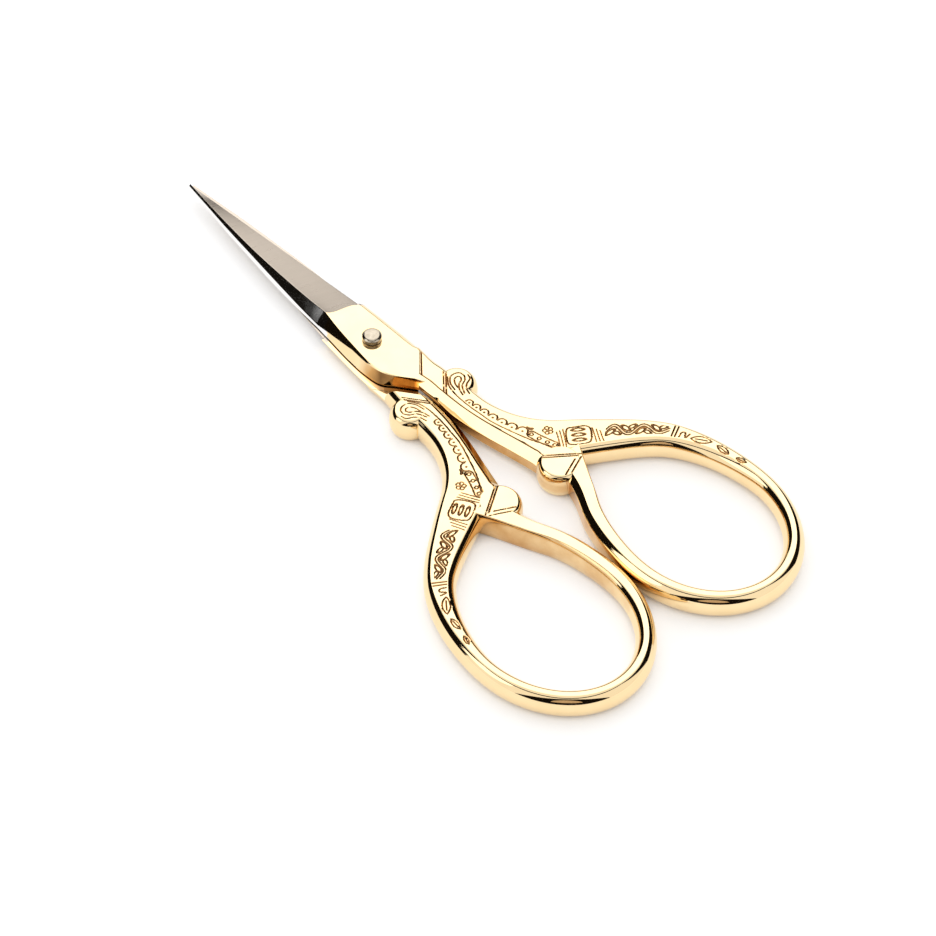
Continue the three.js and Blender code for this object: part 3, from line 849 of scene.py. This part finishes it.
def mark_steel(mesh):
    """The second material on the faces of the blade that are ground bare, the third on its spine."""
    count = len(mesh.polygons)
    centres = np.zeros(count * 3)
    normals = np.zeros(count * 3)
    mesh.polygons.foreach_get("center", centres)
    mesh.polygons.foreach_get("normal", normals)
    x, y, z = centres.reshape(-1, 3).T
    line = grind_line(STEEL_LINE_POINTS)
    order = np.argsort(line[:, 0])
    boundary = np.interp(x, line[order, 0], line[order, 1])
    fall = (THICKNESS - z) / BLADE_STOCK
    boundary = np.where(x < HEEL_RIDGE, HEEL_Y - STEEL_LINE_FALL * fall, boundary)
    boundary = np.where(z < INNER_FACE + ON_FACE, HEEL_Y - GRIND_DIP, boundary)
    bare = y > boundary + ON_LINE
    spine = bare & (normals.reshape(-1, 3)[:, 0] < SPINE_FACING)
    mesh.polygons.foreach_set("material_index", bare.astype(np.int32) + spine)
    mesh.update()


# Finishes
NOISE_LOW, NOISE_HIGH = 0.3, 0.7            # most of a noise lies between these
CLOUD_SHARE, SHADE_SHARE = 0.2, 0.6          # tones at which the gold has its second colour and its colour of painted shade


def node_material(name):
    material = bpy.data.materials.new(name)
    material.use_nodes = True
    nodes = material.node_tree.nodes
    nodes.clear()
    output = nodes.new("ShaderNodeOutputMaterial")
    shader = nodes.new("ShaderNodeBsdfPrincipled")
    material.node_tree.links.new(shader.outputs["BSDF"], output.inputs["Surface"])
    return material, shader


def metal(name):
    material, shader = node_material(name)
    shader.inputs["Metallic"].default_value = 1.0
    return material, shader


def add_noise(material, scale, detail, stretch=(1, 1, 1)):
    tree = material.node_tree
    place = tree.nodes.new("ShaderNodeTexCoord")
    mapping = tree.nodes.new("ShaderNodeMapping")
    mapping.inputs["Scale"].default_value = stretch
    noise = tree.nodes.new("ShaderNodeTexNoise")
    noise.inputs["Scale"].default_value = scale
    noise.inputs["Detail"].default_value = detail
    tree.links.new(place.outputs["Object"], mapping.inputs["Vector"])
    tree.links.new(mapping.outputs["Vector"], noise.inputs["Vector"])
    return noise


def add_range(material, noise, low, high, socket):
    """A value from low to high by the noise."""
    tree = material.node_tree
    step = tree.nodes.new("ShaderNodeMapRange")
    step.inputs["From Min"].default_value = NOISE_LOW
    step.inputs["From Max"].default_value = NOISE_HIGH
    step.inputs["To Min"].default_value = low
    step.inputs["To Max"].default_value = high
    tree.links.new(noise.outputs["Fac"], step.inputs["Value"])
    tree.links.new(step.outputs["Result"], socket)


def add_colours(material, noise, first, second, socket):
    """A colour from first to second by the noise."""
    tree = material.node_tree
    ramp = tree.nodes.new("ShaderNodeValToRGB")
    ramp.color_ramp.elements[0].position = NOISE_LOW
    ramp.color_ramp.elements[1].position = NOISE_HIGH
    ramp.color_ramp.elements[0].color = (*first, 1)
    ramp.color_ramp.elements[1].color = (*second, 1)
    tree.links.new(noise.outputs["Fac"], ramp.inputs["Fac"])
    tree.links.new(ramp.outputs["Color"], socket)


def add_tone(material, noise, first, second, shaded, dark, socket):
    """A colour from first to second by the noise, turning to painted shade and then dark by the mesh's
    tone.
    """
    tree = material.node_tree
    tone = tree.nodes.new("ShaderNodeAttribute")
    tone.attribute_name = TONE
    total = tree.nodes.new("ShaderNodeMath")
    total.operation = "ADD"
    ramp = tree.nodes.new("ShaderNodeValToRGB")
    ramp.color_ramp.elements[0].color = (*first, 1)
    ramp.color_ramp.elements[1].color = (*dark, 1)
    ramp.color_ramp.elements.new(CLOUD_SHARE).color = (*second, 1)
    ramp.color_ramp.elements.new(SHADE_SHARE).color = (*shaded, 1)
    add_range(material, noise, 0.0, CLOUD_SHARE, total.inputs[0])
    tree.links.new(tone.outputs["Fac"], total.inputs[1])
    tree.links.new(total.outputs["Value"], ramp.inputs["Fac"])
    tree.links.new(ramp.outputs["Color"], socket)


def gold_plate():
    material, shader = metal("gold_plate")
    cloud = add_noise(material, scale=260, detail=3)
    first, second = (0.955, 0.725, 0.41), (0.98, 0.765, 0.45)
    # The colour of painted shade, and the dark of dirt and shade in the cut lines
    shaded, dark = (0.62, 0.33, 0.11), (0.09, 0.04, 0.015)
    add_tone(material, cloud, first, second, shaded, dark, shader.inputs["Base Color"])
    haze = add_noise(material, scale=900, detail=4)
    add_range(material, haze, 0.03, 0.07, shader.inputs["Roughness"])
    return material


def bare_steel(name, first, second, roughness, scale, detail=3, stretch=(1, 1, 1)):
    """Steel whose colour and roughness vary with one noise."""
    material, shader = metal(name)
    grain = add_noise(material, scale, detail, stretch)
    add_colours(material, grain, first, second, shader.inputs["Base Color"])
    add_range(material, grain, *roughness, shader.inputs["Roughness"])
    return material


gold = gold_plate()
ground_steel = bare_steel(
    "ground_steel",
    first=(0.56, 0.485, 0.405),
    second=(0.59, 0.51, 0.43),
    roughness=(0.27, 0.31),
    scale=500,
    stretch=(0.4, 5, 0.4),
)
polished_steel = bare_steel(
    "polished_steel",
    first=(0.90, 0.89, 0.87),
    second=(0.94, 0.93, 0.91),
    roughness=(0.05, 0.09),
    scale=400,
)
rivet_steel = bare_steel(
    "bright_steel",
    first=(0.42, 0.36, 0.28),
    second=(0.56, 0.49, 0.39),
    roughness=(0.12, 0.24),
    scale=1500,
    detail=4,
)

# Pieces
SHARP = math.radians(32)


def add_half(name, mesh, place, body, node):
    mesh.name = name
    mesh.materials.clear()
    for finish in (gold, ground_steel, polished_steel):
        mesh.materials.append(finish)
    mark_steel(mesh)
    mesh.shade_smooth()
    mesh.set_sharp_from_angle(angle=SHARP)
    mesh.transform(place @ Matrix.Scale(MM, 4))
    piece = add_object(name, mesh)
    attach(piece, body)
    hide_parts(node)


def add_rivet():
    seat = THICKNESS + PIVOT_CLEARANCE
    head_top = seat + RIVET_HEAD_HEIGHT
    bevel_top = RIVET_HEAD - RIVET_BEVEL
    profile = [
        (AXIS, 0),
        (RIVET_TAIL - RIVET_EASE, 0),
        (RIVET_TAIL, RIVET_TIGHT_EASE),
        (RIVET_SHANK, RIVET_TAIL_DEPTH),
        (RIVET_SHANK, seat),
        (RIVET_HEAD - RIVET_EASE, seat),
        (RIVET_HEAD, seat + RIVET_EASE),
        (RIVET_HEAD, head_top - RIVET_BEVEL - RIVET_TIGHT_EASE),
        (RIVET_HEAD - RIVET_FINE_EASE, head_top - RIVET_BEVEL),
        (bevel_top - RIVET_FINE_EASE, head_top - RIVET_FINE_EASE),
        (bevel_top - CROWN_EDGE[0], head_top + CROWN_EDGE[1]),
        (CROWN_MIDDLE[0], head_top + RIVET_CROWN * CROWN_MIDDLE[1]),
        (AXIS, head_top + RIVET_CROWN),
    ]
    rivet = make_object("pivot_button", *turned(profile))
    rivet.data.transform(Matrix.Scale(MM, 4))
    rivet.data.materials.append(rivet_steel)
    rivet.data.shade_smooth()
    rivet.data.set_sharp_from_angle(angle=SHARP)
    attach(rivet, "lower")
    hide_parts("pivot_rivet")


top = half_mesh(with_tail_seat=False)
bottom = half_mesh(with_tail_seat=True)
turned_over = Matrix.Translation((0, 0, THICKNESS * MM)) @ Matrix.Rotation(math.pi, 4, "Y")
add_half("top_scissor_half", top, Matrix.Identity(4), "upper", "top_half")
add_half("bottom_scissor_half", bottom, turned_over, "lower", "bottom_half")
add_rivet()

# Camera, at the photograph's angle and distance
IMAGE_SIZE = 936
FOCAL_PIXELS = 5464.48
SENSOR = 36.0
VIEW_RIGHT = Vector((0.76582, -0.64305, 0.0))
VIEW_UP = Vector((0.48789, 0.58103, 0.65144))
VIEW_BACK = Vector((-0.41891, -0.49888, 0.75870))
TARGET = Vector((-5.2307, -27.9528, 4.4)) * MM
CAMERA_DISTANCE = 778.82 * MM
CLIP_START = 0.01


def add_camera():
    lens = bpy.data.cameras.new("camera")
    lens.sensor_width = SENSOR
    lens.lens = SENSOR * FOCAL_PIXELS / IMAGE_SIZE
    lens.clip_start = CLIP_START
    camera = add_object("camera", lens)
    place = Matrix((VIEW_RIGHT, VIEW_UP, VIEW_BACK)).transposed().to_4x4()
    place.translation = TARGET + VIEW_BACK * CAMERA_DISTANCE
    camera.matrix_world = place
    bpy.context.scene.camera = camera


add_camera()

# Studio: a white table, a soft light overhead, a pale room and a few dark cards that the metal mirrors
FLOOR_SIZE = 3.0
FLOOR_DROP = 0.00002
FLOOR_GLOW = 0.42
PAPER = (0.82, 0.82, 0.82)
CREVICE, CREVICE_SAMPLES = 0.003, 8         # reach of the shade in deep crevices
CREVICE_SHARES = (0.1, 0.5)                 # open share of the sky at which the glow starts and is full
ROOM_LIGHT, ROOM_SEEN = 0.56, 1.0
CENTRE = Vector((2.0, -14.0, 0)) * MM
CARD_DISTANCE, CARD_COLUMNS = 0.7, 25
CARD_TIP = 0.02             # how far from its ends, as an angle, a dome starts
LAMP_DISTANCE = 1.2
DARK = (0.01, 0.008, 0.006)
WARM = (0.75, 0.58, 0.42)
TABLE_EDGE = 0.3            # elevation in degrees at which cards stand on the table
THIN_LINE = (43, 50.5)      # elevations of the dark line that runs on the bows


def seen_or_mirrored(tree):
    """1 for rays from the camera and rays that metal mirrors, 0 for the light that falls on things."""
    ray = tree.nodes.new("ShaderNodeLightPath")
    either = tree.nodes.new("ShaderNodeMath")
    either.operation = "MAXIMUM"
    tree.links.new(ray.outputs["Is Camera Ray"], either.inputs[0])
    tree.links.new(ray.outputs["Is Glossy Ray"], either.inputs[1])
    return either.outputs["Value"]


def add_floor():
    half = FLOOR_SIZE / 2
    corners = [(x * half, y * half, -FLOOR_DROP) for x, y in ((-1, -1), (1, -1), (1, 1), (-1, 1))]
    floor = make_object("table", corners, [(0, 1, 2, 3)])
    material = bpy.data.materials.new("white_table")
    material.use_nodes = True
    tree = material.node_tree
    tree.nodes.clear()
    output = tree.nodes.new("ShaderNodeOutputMaterial")
    paper = tree.nodes.new("ShaderNodeBsdfDiffuse")
    paper.inputs["Color"].default_value = (*PAPER, 1)
    glow = tree.nodes.new("ShaderNodeEmission")
    level = tree.nodes.new("ShaderNodeMapRange")
    level.inputs["To Max"].default_value = FLOOR_GLOW
    crevice = tree.nodes.new("ShaderNodeAmbientOcclusion")
    crevice.samples = CREVICE_SAMPLES
    crevice.inputs["Distance"].default_value = CREVICE
    openness = tree.nodes.new("ShaderNodeMapRange")
    openness.inputs["From Min"].default_value = CREVICE_SHARES[0]
    openness.inputs["From Max"].default_value = CREVICE_SHARES[1]
    open_glow = tree.nodes.new("ShaderNodeMath")
    open_glow.operation = "MULTIPLY"
    total = tree.nodes.new("ShaderNodeAddShader")
    tree.links.new(seen_or_mirrored(tree), level.inputs["Value"])
    tree.links.new(level.outputs["Result"], open_glow.inputs[0])
    tree.links.new(crevice.outputs["AO"], openness.inputs["Value"])
    tree.links.new(openness.outputs["Result"], open_glow.inputs[1])
    tree.links.new(open_glow.outputs["Value"], glow.inputs["Strength"])
    tree.links.new(paper.outputs["BSDF"], total.inputs[0])
    tree.links.new(glow.outputs["Emission"], total.inputs[1])
    tree.links.new(total.outputs["Shader"], output.inputs["Surface"])
    floor.data.materials.append(material)


def direction(azimuth, elevation):
    """A direction from the object: azimuth 0 is away from the camera, 90 to the image's right."""
    back = Vector((-VIEW_BACK.x, -VIEW_BACK.y, 0)).normalized()
    level = back * math.cos(math.radians(azimuth)) + VIEW_RIGHT * math.sin(math.radians(azimuth))
    return level * math.cos(math.radians(elevation)) + Vector((0, 0, math.sin(math.radians(elevation))))


def add_card(name, azimuths, elevations, colour, end=None, distance=CARD_DISTANCE, dome=0.0):
    """A curved card round the object that only shows in the metal.

    It tapers from the elevations to those at its end, and its top edge is domed by a power.
    """
    columns = np.linspace(*azimuths, CARD_COLUMNS)
    shares = np.linspace(0, 1, CARD_COLUMNS)
    low, high = (lerp(a, b, shares) for a, b in zip(elevations, end or elevations))
    rise = np.sin(np.linspace(CARD_TIP, math.pi - CARD_TIP, CARD_COLUMNS)) ** dome
    points = []
    for edge in (low, lerp(low, high, rise)):
        for azimuth, elevation in zip(columns, edge):
            points.append(tuple(CENTRE + direction(azimuth, elevation) * distance))
    faces = [(i, i + 1, CARD_COLUMNS + i + 1, CARD_COLUMNS + i) for i in range(CARD_COLUMNS - 1)]
    card = make_object(name, points, faces)
    material, shader = node_material(name)
    shader.inputs["Base Color"].default_value = (*colour, 1)
    shader.inputs["Roughness"].default_value = 1.0
    shader.inputs["Specular IOR Level"].default_value = 0.0
    card.data.materials.append(material)
    card.visible_camera = False
    card.visible_diffuse = False
    card.visible_shadow = False


def add_lamp(name, azimuth, elevation, size, power):
    lamp = bpy.data.lights.new(name, "AREA")
    lamp.shape = "DISK"
    lamp.size = size
    lamp.energy = power
    piece = add_object(name, lamp)
    aim = direction(azimuth, elevation)
    piece.location = CENTRE + aim * LAMP_DISTANCE
    piece.rotation_euler = aim.to_track_quat("Z", "Y").to_euler()


def add_room():
    """A pale room that is brighter where it is seen or mirrored than as a light."""
    world = bpy.data.worlds.new("room")
    world.use_nodes = True
    tree = world.node_tree
    tree.nodes.clear()
    output = tree.nodes.new("ShaderNodeOutputWorld")
    background = tree.nodes.new("ShaderNodeBackground")
    background.inputs["Color"].default_value = (1, 1, 1, 1)
    level = tree.nodes.new("ShaderNodeMapRange")
    level.inputs["To Min"].default_value = ROOM_LIGHT
    level.inputs["To Max"].default_value = ROOM_SEEN
    tree.links.new(seen_or_mirrored(tree), level.inputs["Value"])
    tree.links.new(level.outputs["Result"], background.inputs["Strength"])
    tree.links.new(background.outputs["Background"], output.inputs["Surface"])
    bpy.context.scene.world = world


add_floor()
add_card("dark_ring", (-80, 80), (TABLE_EDGE, 13), DARK)
add_card("dark_far_left", (-99, -80), (TABLE_EDGE, 17), DARK)
add_card("dark_by_blade", (-94, -80), (17, 25), DARK)
add_card("dark_left", (-80, -30), (13, 40), DARK)
add_card("dark_right", (30, 80), (13, 38), DARK)
add_card("dark_left_taper", (-80, -100), (TABLE_EDGE, 40), DARK, end=THIN_LINE)
add_card("dark_right_taper", (80, 112), (TABLE_EDGE, 38), DARK, end=THIN_LINE)
add_card("dark_line", (112, 260), THIN_LINE, DARK)
add_card("dark_front", (138, 222), (TABLE_EDGE, 39), DARK, dome=0.9)
add_card("warm_front", (166, 194), (12, 30), WARM, distance=0.9 * CARD_DISTANCE, dome=0.6)
add_lamp("overhead", azimuth=0, elevation=58, size=1.7, power=6.2)
add_lamp("left", azimuth=-108, elevation=33, size=0.75, power=1.0)
add_room()
bpy.context.scene.view_settings.view_transform = "Standard"
